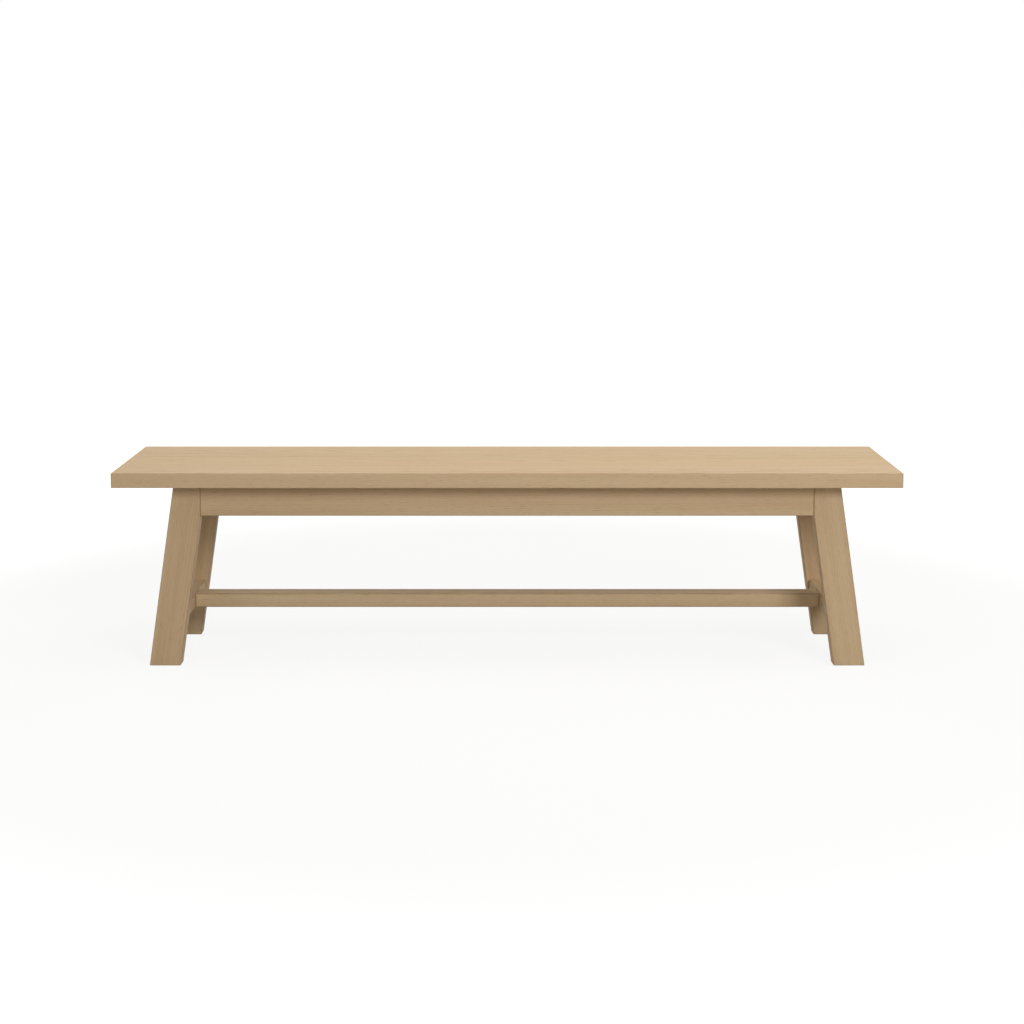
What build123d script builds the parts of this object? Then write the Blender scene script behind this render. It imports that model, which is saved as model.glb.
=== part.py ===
from build123d import *
import os
from math import radians, sqrt, tan

# A solid oak dining bench: an edge-glued top on four splayed flat legs, which are tied by
# aprons under the top and by a low H of stretchers.
# Millimetres. X runs along the bench, the front is at -Y, and Z is up from the floor.

# Whole bench
bench_length = 1800
bench_depth = 400
bench_height = 457

# Seat top: equal boards, glued edge to edge
top_thickness = 34
board_count = 4
top_arris = 1.5
lower_arris = 1

# Legs: flat boards that lean outward along the bench only
leg_width = 72
leg_thickness = 35
leg_splay = 8.2
end_overhang = 134
front_overhang = 42
leg_arris = 2
foot_chamfer = 1

# Aprons: the long ones are flush with the legs, the short ones lie between the legs
apron_height = 72
apron_thickness = 22
apron_arris = 2
end_apron_setin = 24

# Cross rails, housed into the long aprons
cross_rail_count = 3
cross_rail_pitch = 420
cross_rail_width = 45
cross_rail_height = 30
cross_rail_chamfer = 2
housing_depth = 6

# Low stretchers
stretcher_floor_gap = 105
stretcher_height = 33
stretcher_arris = 3
long_stretcher_width = 50
end_stretcher_reveal = 5

# Twin tenons of the end stretchers
twin_tenon_thickness = 12
twin_tenon_pitch = 28
twin_tenon_length = 24
twin_tenon_shoulder = 5

# Tenons of the long stretcher
long_tenon_thickness = 16
long_tenon_width = 34

# Dowels between aprons and legs
dowel_diameter = 8
dowel_length = 38
dowel_pitch = 33
dowel_chamfer = 1

# Corner blocks, and the hanger bolts that pull the legs in
block_thickness = 28
block_height = 46
block_gap = 1
bolt_flat = 8
hanger_diameter = 8
hanger_bite = 30
hanger_point = 8
hanger_point_taper = 2.5
hanger_spare = 5
washer_diameter = 20
washer_thickness = 1.6
nut_width = 13
nut_height = 6.5

# Wood screws: one form in three lengths
screw_diameter = 4.5
screw_head_diameter = 8.5
screw_head_height = 2.6
screw_point = 6
screw_point_taper = 1.5
block_screw_length = 28
block_screw_grip = 10
block_screw_pitch = 26
button_screw_length = 30
button_screw_sink = 4
button_screw_setback = 19
rail_screw_length = 42
rail_screw_sink = 8
rail_screw_setback = 45
slot_play = 4

# Turn buttons, which hold the top and let it move with the seasons
button_width = 26
button_reach = 32
button_thickness = 18
button_chamfer = 5
button_gap = 0.5
button_standoff = 1
end_button_pitch = 60
tongue_length = 7
tongue_thickness = 7
groove_drop = 11
groove_height = 8
groove_depth = 9

# Bolts and barrel nuts of the long stretcher
cap_bolt_diameter = 6
cap_head_diameter = 10
cap_head_height = 6
cap_socket_width = 5
cap_socket_depth = 3
cap_washer_diameter = 14
cap_washer_thickness = 1.6
cap_washer_sink = 12
cap_seat_wall = 6.5
cap_bolt_spare = 9
barrel_diameter = 10
barrel_length = 18
barrel_setback = 36

# Screws, bolts, dowels and their holes are many and hidden, so they are drawn with few sides
round_sides = 8

# Clearances: glued joints, metal in wood, and the floor of a blind hole
glue_fit = 0.1
drill_fit = 0.15
blind_relief = 1.5
cut_overrun = 1

# Heights
underside = bench_height - top_thickness
apron_bottom = underside - apron_height
groove_top = underside - groove_drop
joint_z = (apron_bottom + groove_top - groove_height) / 2
stretcher_middle = stretcher_floor_gap + stretcher_height / 2

# Places along the bench, at its right-hand end
lean = tan(radians(leg_splay))
top_outer_x = bench_length / 2 - end_overhang
foot_outer_x = top_outer_x + lean * underside
foot_inner_x = foot_outer_x - leg_width
joint_x = foot_inner_x - lean * apron_bottom
end_apron_inner_x = joint_x + end_apron_setin
end_apron_middle_x = end_apron_inner_x + apron_thickness / 2
leg_middle_x = foot_outer_x - leg_width / 2 - lean * stretcher_middle
end_stretcher_width = leg_width - 2 * end_stretcher_reveal
end_stretcher_inner_x = leg_middle_x - end_stretcher_width / 2
end_stretcher_outer_x = leg_middle_x + end_stretcher_width / 2
long_tenon_length = end_stretcher_width - cap_washer_sink - cap_seat_wall - blind_relief
barrel_x = end_stretcher_inner_x - barrel_setback
cap_seat_x = end_stretcher_outer_x - cap_washer_sink

# Places across the bench, from its middle line
face_y = bench_depth / 2 - front_overhang
leg_back_y = face_y - leg_thickness
apron_back_y = face_y - apron_thickness
apron_middle_y = face_y - apron_thickness / 2
rail_end_y = apron_back_y + housing_depth
rail_screw_y = apron_back_y - rail_screw_setback

# The slanted faces of a corner block, as the sum of their distances along and across the bench
block_outer_sum = joint_x + leg_back_y - block_gap * sqrt(2)
block_inner_sum = block_outer_sum - block_thickness * sqrt(2)
block_middle_sum = (block_outer_sum + block_inner_sum) / 2
block_screw_x = block_middle_sum - apron_back_y
block_screw_y = block_middle_sum - end_apron_inner_x

# Holes
screw_hole = screw_diameter / 2 + drill_fit
screw_head_hole = screw_head_diameter / 2 + drill_fit
dowel_hole = dowel_diameter / 2 + glue_fit
dowel_hole_depth = dowel_length / 2 + blind_relief
hanger_hole = hanger_diameter / 2 + drill_fit
cap_bolt_hole = cap_bolt_diameter / 2 + drill_fit
cap_washer_hole = cap_washer_diameter / 2 + drill_fit
barrel_hole = barrel_diameter / 2 + drill_fit

os.makedirs("parts", exist_ok=True)


def save(part, name):
    """Labels a finished piece and writes it."""
    part.label = name
    export_step(part, f"parts/{name}.step")


def save_at_ends(part, name):
    """Writes a right-hand piece and its twin at the left end."""
    with BuildPart() as left:
        add(part)
        mirror(about=Plane.YZ, mode=Mode.REPLACE)
    save(part, f"{name}_right")
    save(left.part, f"{name}_left")


def save_at_corners(part, name):
    """Writes a front right-hand piece and its twins at the other three corners."""
    with BuildPart() as rear:
        add(part)
        mirror(about=Plane.XZ, mode=Mode.REPLACE)
    save_at_ends(part, f"{name}_front")
    save_at_ends(rear.part, f"{name}_rear")


# Each place below is a plane whose normal is the way a screw, bolt or dowel is driven.
# An end is -1 at the left and 1 at the right, and a side is -1 at the front and 1 at the rear.
ends = (-1, 1)
sides = (-1, 1)


def hanger_place(end, side):
    """The corner of a leg, looking into the leg along its hanger bolt."""
    corner = (end * joint_x, side * leg_back_y, joint_z)
    return Plane(origin=corner, x_dir=(0, 0, 1), z_dir=(end, side, 0))


def block_screw_places(end, side):
    """Where the screw heads of one corner block bear."""
    places = []
    for step in (-1, 1):
        z = joint_z + step * block_screw_pitch / 2
        to_long = (end * block_screw_x, side * (apron_back_y - block_screw_grip), z)
        to_short = (end * (end_apron_inner_x - block_screw_grip), side * block_screw_y, z)
        places.append(Plane(origin=to_long, x_dir=(0, 0, 1), z_dir=(0, side, 0)))
        places.append(Plane(origin=to_short, x_dir=(0, 0, 1), z_dir=(end, 0, 0)))
    return places


def button_place(x, y, inward_x, inward_y):
    """Where an apron's inner face meets the top: y of the plane points into the bench."""
    return Plane(origin=(x, y, underside), x_dir=(inward_y, -inward_x, 0), z_dir=(0, 0, 1))


hanger_places = [hanger_place(end, side) for end in ends for side in sides]
block_screw_seats = [seat for end in ends for side in sides for seat in block_screw_places(end, side)]

cross_rail_xs = []
for number in range(cross_rail_count):
    cross_rail_xs.append((number - (cross_rail_count - 1) / 2) * cross_rail_pitch)
rail_places = [Plane(origin=(x, side * rail_screw_y, underside)) for x in cross_rail_xs for side in sides]

button_places = []
for side in sides:
    for number in range(cross_rail_count + 1):
        button_x = (number - cross_rail_count / 2) * cross_rail_pitch
        button_places.append(button_place(button_x, side * apron_back_y, 0, -side))
for end in ends:
    for step in (-1, 1):
        button_y = step * end_button_pitch / 2
        button_places.append(button_place(end * end_apron_inner_x, button_y, -end, 0))

apron_dowel_places = []
end_apron_dowel_places = []
for end in ends:
    for side in sides:
        for step in (-1, 1):
            dowel_z = joint_z + step * dowel_pitch / 2
            in_long = (end * joint_x, side * apron_middle_y, dowel_z)
            in_short = (end * end_apron_middle_x, side * leg_back_y, dowel_z)
            apron_dowel_places.append(Plane(origin=in_long, x_dir=(0, 0, 1), z_dir=(end, 0, 0)))
            end_apron_dowel_places.append(Plane(origin=in_short, x_dir=(0, 0, 1), z_dir=(0, side, 0)))

cap_bolt_places = []
for end in ends:
    cap_seat = (end * cap_seat_x, 0, stretcher_middle)
    cap_bolt_places.append(Plane(origin=cap_seat, x_dir=(0, 0, 1), z_dir=(-end, 0, 0)))
cap_bolt_length = cap_seat_x - barrel_x + cap_bolt_spare


def drill(places, radius, depth, both=False):
    """Drills into the part being built, along the normal of each place."""
    with BuildSketch(*places) as bores:
        RegularPolygon(radius, round_sides)
    extrude(bores.sketch, amount=depth, both=both, mode=Mode.SUBTRACT)


def moved(places, along_y, along_normal):
    """The same places, shifted along their own y and along their normal."""
    return [place * Plane(origin=(0, along_y, along_normal)) for place in places]


# Seat top: glued up and eased as one panel, then taken board by board
button_screw_grip = button_thickness - button_screw_sink + button_gap
rail_screw_grip = cross_rail_height - rail_screw_sink
button_screw_depth = button_screw_length - button_screw_grip + blind_relief
rail_screw_depth = rail_screw_length - rail_screw_grip + blind_relief
with BuildPart() as seat_top:
    with BuildSketch(Plane.XY.offset(underside)):
        Rectangle(bench_length, bench_depth)
    extrude(amount=top_thickness)
    chamfer(seat_top.faces().sort_by(Axis.Z)[0].edges(), lower_arris)
    fillet(seat_top.faces().sort_by(Axis.Z)[-1].edges() + seat_top.edges().filter_by(Axis.Z), top_arris)
    drill(moved(button_places, button_screw_setback, 0), screw_hole, button_screw_depth)
    drill(rail_places, screw_hole, rail_screw_depth)

board_width = bench_depth / board_count
for number in range(board_count):
    with BuildPart() as top_board:
        add(seat_top.part)
        with BuildSketch(Plane.XY.offset(underside)):
            with Locations((0, (number + 1 / 2) * board_width - bench_depth / 2)):
                Rectangle(bench_length, board_width)
        extrude(amount=top_thickness, mode=Mode.INTERSECT)
    save(top_board.part, f"top_board_{number + 1}")


# Leg: a board with a knee, upright where it meets the apron and splayed below it
with BuildPart() as leg:
    with BuildSketch(Plane.XZ.offset(leg_back_y)):
        with BuildLine():
            Polyline(
                (foot_inner_x, 0),
                (foot_outer_x, 0),
                (top_outer_x, underside),
                (joint_x, underside),
                (joint_x, apron_bottom),
                close=True,
            )
        make_face()
    extrude(amount=leg_thickness)
    fillet(leg.edges().filter_by(Plane.XY, reverse=True), leg_arris)
    chamfer(leg.faces().sort_by(Axis.Z)[0].edges(), foot_chamfer)
    # Flat for the hanger bolt, sawn across the inner corner
    with BuildSketch(Plane.XY.offset(joint_z - block_height / 2)):
        with BuildLine():
            Polyline(
                (joint_x, -leg_back_y),
                (joint_x + bolt_flat, -leg_back_y),
                (joint_x, -leg_back_y - bolt_flat),
                close=True,
            )
        make_face()
    extrude(amount=underside - joint_z + block_height / 2, mode=Mode.SUBTRACT)
    drill([hanger_place(1, -1)], hanger_hole, hanger_bite + blind_relief)
    drill(apron_dowel_places + end_apron_dowel_places, dowel_hole, dowel_hole_depth, both=True)
    # Twin mortises
    with BuildSketch(Plane.XZ.offset(leg_back_y)):
        with Locations((leg_middle_x, stretcher_middle)):
            with GridLocations(twin_tenon_pitch, 0, 2, 1):
                Rectangle(
                    twin_tenon_thickness + 2 * glue_fit,
                    stretcher_height - 2 * twin_tenon_shoulder + 2 * glue_fit,
                )
    extrude(amount=twin_tenon_length + blind_relief, mode=Mode.SUBTRACT)
save_at_corners(leg.part, "leg")


# Long aprons: grooved for the buttons and housed for the cross rails
block_screw_depth = block_screw_length + blind_relief
with BuildPart() as front_apron:
    with BuildSketch(Plane.XZ.offset(apron_back_y)):
        with Locations((0, (apron_bottom + underside) / 2)):
            Rectangle(2 * joint_x, apron_height)
    extrude(amount=apron_thickness)
    lower_edges = front_apron.faces().sort_by(Axis.Z)[0].edges().filter_by(Axis.X)
    end_edges = front_apron.faces().sort_by(Axis.Y)[0].edges().filter_by(Axis.Z)
    fillet(lower_edges + end_edges, apron_arris)
    with BuildSketch(Plane.XZ.offset(apron_back_y)):
        with Locations((0, groove_top - groove_height / 2)):
            Rectangle(2 * joint_x, groove_height)
    extrude(amount=groove_depth, mode=Mode.SUBTRACT)
    with BuildSketch(Plane.XZ.offset(apron_back_y)):
        with Locations((0, underside - cross_rail_height / 2)):
            with GridLocations(cross_rail_pitch, 0, cross_rail_count, 1):
                Rectangle(cross_rail_width + 2 * glue_fit, cross_rail_height)
    extrude(amount=housing_depth + glue_fit, mode=Mode.SUBTRACT)
    drill(apron_dowel_places, dowel_hole, dowel_hole_depth, both=True)
    drill(block_screw_seats, screw_hole, block_screw_depth)
save(front_apron.part, "front_apron")

with BuildPart() as rear_apron:
    add(front_apron.part)
    mirror(about=Plane.XZ, mode=Mode.REPLACE)
save(rear_apron.part, "rear_apron")


# Short aprons
with BuildPart() as end_apron:
    with BuildSketch(Plane.YZ.offset(end_apron_inner_x)):
        with Locations((0, (apron_bottom + underside) / 2)):
            Rectangle(2 * leg_back_y, apron_height)
    extrude(amount=apron_thickness)
    fillet(end_apron.faces().sort_by(Axis.Z)[0].edges().filter_by(Axis.Y), apron_arris)
    with BuildSketch(Plane.YZ.offset(end_apron_inner_x)):
        with Locations((0, groove_top - groove_height / 2)):
            Rectangle(2 * leg_back_y, groove_height)
    extrude(amount=groove_depth, mode=Mode.SUBTRACT)
    drill(end_apron_dowel_places, dowel_hole, dowel_hole_depth, both=True)
    drill(block_screw_seats, screw_hole, block_screw_depth)
save_at_ends(end_apron.part, "end_apron")


# Cross rails: slotted where their screws go up into the top
for name, rail_x in zip(("left", "centre", "right"), cross_rail_xs):
    slot_middles = ((rail_x, -rail_screw_y), (rail_x, rail_screw_y))
    with BuildPart() as cross_rail:
        with BuildSketch(Plane.XY.offset(underside - cross_rail_height)):
            with Locations((rail_x, 0)):
                Rectangle(cross_rail_width, 2 * rail_end_y)
        extrude(amount=cross_rail_height)
        chamfer(cross_rail.faces().sort_by(Axis.Z)[0].edges().filter_by(Axis.Y), cross_rail_chamfer)
        for radius, depth in ((screw_head_hole, rail_screw_sink), (screw_hole, cross_rail_height)):
            with BuildSketch(Plane.XY.offset(underside - cross_rail_height)) as slots:
                with Locations(*slot_middles):
                    Rectangle(2 * radius, 2 * radius + slot_play)
                chamfer(slots.vertices(), radius / 2)
            extrude(amount=depth, mode=Mode.SUBTRACT)
    save(cross_rail.part, f"cross_rail_{name}")


# End stretcher: an eased bar with twin tenons, and a mortise and a bolt hole at its middle
cap_bolt_depth = cap_bolt_length + blind_relief
with BuildPart() as end_stretcher:
    with BuildSketch(Plane.XZ):
        with Locations((leg_middle_x, stretcher_middle)):
            RectangleRounded(end_stretcher_width, stretcher_height, stretcher_arris)
    extrude(amount=leg_back_y, both=True)
    with BuildSketch(Plane.XZ):
        with Locations((leg_middle_x, stretcher_middle)):
            with GridLocations(twin_tenon_pitch, 0, 2, 1):
                Rectangle(twin_tenon_thickness, stretcher_height - 2 * twin_tenon_shoulder)
    extrude(amount=leg_back_y + twin_tenon_length, both=True)
    with BuildSketch(Plane.YZ.offset(end_stretcher_inner_x)):
        with Locations((0, stretcher_middle)):
            Rectangle(long_tenon_width + 2 * glue_fit, long_tenon_thickness + 2 * glue_fit)
    extrude(amount=long_tenon_length + blind_relief, mode=Mode.SUBTRACT)
    drill(cap_bolt_places, cap_bolt_hole, cap_bolt_depth)
    drill(cap_bolt_places, cap_washer_hole, -cap_washer_sink - cut_overrun)
save_at_ends(end_stretcher.part, "end_stretcher")


# Long stretcher: a tenon at each end, bored for the bolt and its barrel nut
barrel_places = [Plane(origin=(end * barrel_x, 0, stretcher_floor_gap)) for end in ends]
barrel_depth = stretcher_height / 2 + barrel_length / 2
with BuildPart() as long_stretcher:
    with BuildSketch(Plane.YZ):
        with Locations((0, stretcher_middle)):
            RectangleRounded(long_stretcher_width, stretcher_height, stretcher_arris)
    extrude(amount=end_stretcher_inner_x, both=True)
    with BuildSketch(Plane.YZ):
        with Locations((0, stretcher_middle)):
            Rectangle(long_tenon_width, long_tenon_thickness)
    extrude(amount=end_stretcher_inner_x + long_tenon_length, both=True)
    drill(cap_bolt_places, cap_bolt_hole, cap_bolt_depth)
    drill(barrel_places, barrel_hole, barrel_depth)
save(long_stretcher.part, "long_stretcher")


# Corner block: its ends are mitred to meet both aprons, and its screws are sunk from inside
with BuildPart() as corner_block:
    with BuildSketch(Plane.XY.offset(joint_z - block_height / 2)):
        with BuildLine():
            Polyline(
                (block_outer_sum - apron_back_y, -apron_back_y),
                (end_apron_inner_x, end_apron_inner_x - block_outer_sum),
                (end_apron_inner_x, end_apron_inner_x - block_inner_sum),
                (block_inner_sum - apron_back_y, -apron_back_y),
                close=True,
            )
        make_face()
    extrude(amount=block_height)
    drill([hanger_place(1, -1)], hanger_hole, block_thickness + block_gap, both=True)
    drill(block_screw_seats, screw_hole, block_screw_grip)
    drill(block_screw_seats, screw_head_hole, -block_thickness)
save_at_corners(corner_block.part, "corner_block")


# Dowels
with BuildPart() as dowel:
    with BuildSketch():
        RegularPolygon(dowel_diameter / 2, round_sides)
    extrude(amount=dowel_length / 2, both=True)
    chamfer(dowel.faces().filter_by(Axis.Z).edges(), dowel_chamfer)

for name, places in (("apron_dowels", apron_dowel_places), ("end_apron_dowels", end_apron_dowel_places)):
    with BuildPart() as dowels:
        with Locations(*places):
            add(dowel.part)
    save(dowels.part, name)


# Hanger bolts: pointed in the leg, threaded through the corner block to a washer and a nut
washer_seat = block_gap + block_thickness
nut_seat = washer_seat + washer_thickness
hanger_end = nut_seat + nut_height + hanger_spare
with BuildPart() as hanger_bolt:
    with BuildSketch(Plane.XY.offset(-hanger_end)):
        RegularPolygon(hanger_diameter / 2, round_sides)
    extrude(amount=hanger_end + hanger_bite)
    tip = hanger_bolt.faces().sort_by(Axis.Z)[-1]
    chamfer(tip.edges(), hanger_point_taper, hanger_point, reference=tip)

with BuildPart() as hanger_bolts:
    with Locations(*hanger_places):
        add(hanger_bolt.part)
save(hanger_bolts.part, "hanger_bolts")

with BuildPart() as bolt_washers:
    with BuildSketch(*moved(hanger_places, 0, -nut_seat)):
        RegularPolygon(washer_diameter / 2, round_sides)
        RegularPolygon(hanger_hole, round_sides, mode=Mode.SUBTRACT)
    extrude(amount=washer_thickness)
save(bolt_washers.part, "bolt_washers")

with BuildPart() as bolt_nuts:
    with BuildSketch(*moved(hanger_places, 0, -nut_seat - nut_height)):
        RegularPolygon(nut_width / 2, 6, major_radius=False)
        RegularPolygon(hanger_diameter / 2, round_sides, mode=Mode.SUBTRACT)
    extrude(amount=nut_height)
save(bolt_nuts.part, "bolt_nuts")


def save_wood_screws(places, length, name):
    """Writes pan-head screws whose heads bear on the places."""
    with BuildPart() as screw:
        with BuildSketch(Plane.XY.offset(-screw_head_height)):
            RegularPolygon(screw_head_diameter / 2, round_sides)
        extrude(amount=screw_head_height)
        with BuildSketch():
            RegularPolygon(screw_diameter / 2, round_sides)
        extrude(amount=length)
        tip = screw.faces().sort_by(Axis.Z)[-1]
        chamfer(tip.edges(), screw_point_taper, screw_point, reference=tip)
    with BuildPart() as screws:
        with Locations(*places):
            add(screw.part)
    save(screws.part, name)


button_screw_seats = moved(button_places, button_screw_setback, -button_screw_grip)
rail_screw_seats = moved(rail_places, 0, -rail_screw_grip)
save_wood_screws(block_screw_seats, block_screw_length, "corner_block_screws")
save_wood_screws(button_screw_seats, button_screw_length, "button_screws")
save_wood_screws(rail_screw_seats, rail_screw_length, "cross_rail_screws")


# Turn button: its tongue reaches into the groove of an apron and bears up against its top
with BuildPart() as turn_button:
    with BuildSketch(Plane.YZ):
        with BuildLine():
            Polyline(
                (button_standoff, -button_gap),
                (button_standoff, -groove_drop),
                (-tongue_length, -groove_drop),
                (-tongue_length, -groove_drop - tongue_thickness),
                (button_standoff, -groove_drop - tongue_thickness),
                (button_standoff, -button_gap - button_thickness),
                (button_standoff + button_reach - button_chamfer, -button_gap - button_thickness),
                (button_standoff + button_reach, -button_gap - button_thickness + button_chamfer),
                (button_standoff + button_reach, -button_gap),
                close=True,
            )
        make_face()
    extrude(amount=button_width / 2, both=True)
    button_seat = moved([Plane.XY], button_screw_setback, -button_screw_grip)
    drill(button_seat, screw_hole, button_screw_grip)
    drill(button_seat, screw_head_hole, -button_screw_sink - cut_overrun)

with BuildPart() as top_buttons:
    with Locations(*button_places):
        add(turn_button.part)
save(top_buttons.part, "top_buttons")


# Bolts of the long stretcher: a socket head on a washer, screwed into a barrel nut
with BuildPart() as stretcher_bolts:
    with BuildSketch(*moved(cap_bolt_places, 0, -cap_washer_thickness)):
        RegularPolygon(cap_bolt_diameter / 2, round_sides)
    extrude(amount=cap_washer_thickness + cap_bolt_length)
    with BuildSketch(*moved(cap_bolt_places, 0, -cap_washer_thickness - cap_head_height)):
        RegularPolygon(cap_head_diameter / 2, round_sides)
    extrude(amount=cap_head_height)
    with BuildSketch(*moved(cap_bolt_places, 0, -cap_washer_thickness - cap_head_height)):
        RegularPolygon(cap_socket_width / 2, 6, major_radius=False)
    extrude(amount=cap_socket_depth, mode=Mode.SUBTRACT)
save(stretcher_bolts.part, "stretcher_bolts")

with BuildPart() as stretcher_washers:
    with BuildSketch(*moved(cap_bolt_places, 0, -cap_washer_thickness)):
        RegularPolygon(cap_washer_diameter / 2, round_sides)
        RegularPolygon(cap_bolt_hole, round_sides, mode=Mode.SUBTRACT)
    extrude(amount=cap_washer_thickness)
save(stretcher_washers.part, "stretcher_washers")

with BuildPart() as barrel_nuts:
    with BuildSketch(*moved(barrel_places, 0, barrel_depth - barrel_length)):
        RegularPolygon(barrel_diameter / 2, round_sides)
    extrude(amount=barrel_length)
    drill(cap_bolt_places, cap_bolt_diameter / 2, cap_bolt_depth)
save(barrel_nuts.part, "barrel_nuts")
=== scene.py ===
import math

import bmesh
import bpy
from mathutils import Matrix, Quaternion, Vector


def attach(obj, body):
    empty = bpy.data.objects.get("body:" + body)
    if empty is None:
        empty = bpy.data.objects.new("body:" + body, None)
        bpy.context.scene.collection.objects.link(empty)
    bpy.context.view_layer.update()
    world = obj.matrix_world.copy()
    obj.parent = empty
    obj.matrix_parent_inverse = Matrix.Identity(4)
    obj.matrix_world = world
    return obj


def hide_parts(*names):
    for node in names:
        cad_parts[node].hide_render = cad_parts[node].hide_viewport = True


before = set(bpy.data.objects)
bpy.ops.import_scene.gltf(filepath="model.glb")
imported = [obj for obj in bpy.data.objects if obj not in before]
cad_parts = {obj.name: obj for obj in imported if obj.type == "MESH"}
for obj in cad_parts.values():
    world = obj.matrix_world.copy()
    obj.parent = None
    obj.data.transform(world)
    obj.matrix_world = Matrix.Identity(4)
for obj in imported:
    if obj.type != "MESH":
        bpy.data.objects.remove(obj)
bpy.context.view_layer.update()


# Seat top
# Four boards of solid European oak, planed and glued edge to edge. The panel is eased all round
# with fine sandpaper and finished with a thin matt clear lacquer.

# Sizes are written in millimetres, and the model is in metres
MM = 0.001
# Along the bench, across it to the rear, and up
X, Y, Z = 0, 1, 2
# Places this close are one place, and an edge that goes further than a short way runs along an axis
SAME_PLACE = 0.01
SHORT_WAY = 1
# Faces that meet at less than this are shaded as one curve
CURVE_ANGLE = math.radians(35)


def take_up(piece):
    """Makes a piece the only selected one, ready to be worked on."""
    bpy.ops.object.select_all(action="DESELECT")
    piece.select_set(True)
    bpy.context.view_layer.objects.active = piece


def squared_stock(name, corner, far_corner):
    """Wood planed square, between any two opposite corners in millimetres."""
    low = Vector([min(ends) for ends in zip(corner, far_corner)]) * MM
    high = Vector([max(ends) for ends in zip(corner, far_corner)]) * MM
    bpy.ops.object.select_all(action="DESELECT")
    bpy.ops.mesh.primitive_cube_add(size=1, location=(low + high) / 2, scale=high - low)
    bpy.ops.object.transform_apply(location=True, rotation=True, scale=True)
    stock = bpy.context.object
    stock.name = stock.data.name = name
    return stock


def mark_edges(piece, wanted):
    """Opens a piece for editing, with only those edges selected whose two ends are wanted."""
    take_up(piece)
    bpy.ops.object.mode_set(mode="EDIT")
    bpy.ops.mesh.select_mode(type="EDGE")
    bpy.ops.mesh.select_all(action="DESELECT")
    edited = bmesh.from_edit_mesh(piece.data)
    for edge in edited.edges:
        first, second = (corner.co / MM for corner in edge.verts)
        edge.select_set(wanted(first, second))
    bmesh.update_edit_mesh(piece.data)


def ease(piece, width, wanted, steps=3):
    """Rounds over the wanted edges, as sandpaper or a router does, and marks them for wear and painted
    shade.
    """
    mark_edges(piece, wanted)
    bpy.ops.mesh.bevel(offset=width * MM, segments=steps, profile=0.5, affect="EDGES")
    bpy.ops.object.mode_set(mode="OBJECT")
    attributes = piece.data.attributes
    worn_and_shaded = attributes.get("worn arris") or attributes.new("worn arris", "FLOAT", "FACE")
    for face in piece.data.polygons:
        if face.select:
            worn_and_shaded.data[face.index].value = 1


def lies_at(first, second, axis, place):
    """Whether an edge, given by its two ends, lies all at one place on an axis."""
    return abs(first[axis] - place) < SAME_PLACE and abs(second[axis] - place) < SAME_PLACE


def lies_at_an_end(first, second, axis, reach):
    """Whether an edge lies all at one end of a piece that reaches as far both ways."""
    return any(lies_at(first, second, axis, end * reach) for end in (-1, 1))


def runs_along(first, second, axis):
    """Whether an edge goes more than a short way along an axis."""
    return abs(first[axis] - second[axis]) > SHORT_WAY


def fit_up(piece, nodes, material):
    """Shades a finished piece and puts it in the bench, in place of its solids."""
    take_up(piece)
    bpy.ops.object.shade_smooth_by_angle(angle=CURVE_ANGLE)
    piece.modifiers.new("Flat faces stay flat", "WEIGHTED_NORMAL").keep_sharp = True
    bpy.ops.object.modifier_apply(modifier="Flat faces stay flat")
    piece.data.materials.append(material)
    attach(piece, "root")
    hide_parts(*nodes)


def linear(hex_colour):
    """An sRGB hex colour as the linear one that a shader takes."""
    channels = [int(hex_colour[i:i + 2], 16) / 255 for i in (1, 3, 5)]
    return (*[c / 12.92 if c <= 0.04045 else ((c + 0.055) / 1.055) ** 2.4 for c in channels], 1)


def add_node(tree, kind, values=(), links=(), **settings):
    """Adds a node with its settings, the values of its inputs, and the outputs that lead to it."""
    new = tree.nodes.new(kind)
    for name, value in settings.items():
        setattr(new, name, value)
    for socket, value in dict(values).items():
        new.inputs[socket].default_value = value
    for socket, source in dict(links).items():
        tree.links.new(source, new.inputs[socket])
    return new


def grain_figure(tree, wood, length, width, detail, roughness=0.5):
    """A chance figure in wood, drawn out along the grain, that changes over a length and width in mm."""
    scale = (1 / (length * MM), 1 / (width * MM), 1 / (width * MM))
    drawn_out = add_node(
        tree, "ShaderNodeVectorMath", {1: scale}, {0: wood}, operation="MULTIPLY",
    ).outputs[0]
    return add_node(
        tree, "ShaderNodeTexNoise", {"Scale": 1, "Detail": detail, "Roughness": roughness},
        {"Vector": drawn_out},
    ).outputs["Fac"]


# One ring in 3.4 mm, as in oak that grew fairly fast, and rings that wander by up to 22 mm
RING_WIDTH = 3.4
RING_WANDER = 22
# How much the spring wood and the fibres count in the tone of the wood, where a broad streak counts 1
SPRING_WOOD_WEIGHT = 0.14
FIBRE_WEIGHT = 0.4
# Pores in the dense summer wood, as a share of those in the spring wood
SUMMER_PORES = 0.2
# How far pores and end grain go over to their own darker browns
PORE_DARKNESS = 0.28
END_GRAIN_DARKNESS = 0.3
# The darkening of an arris, part wear and part painted shade, changes over some 60 mm
ARRIS_DARKENING_LENGTH = 60
# The pores stay open by 0.08 mm, and the fibres make the surface uneven by this share of that
PORE_DEPTH = 0.08
FIBRE_RELIEF = 0.3


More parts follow.
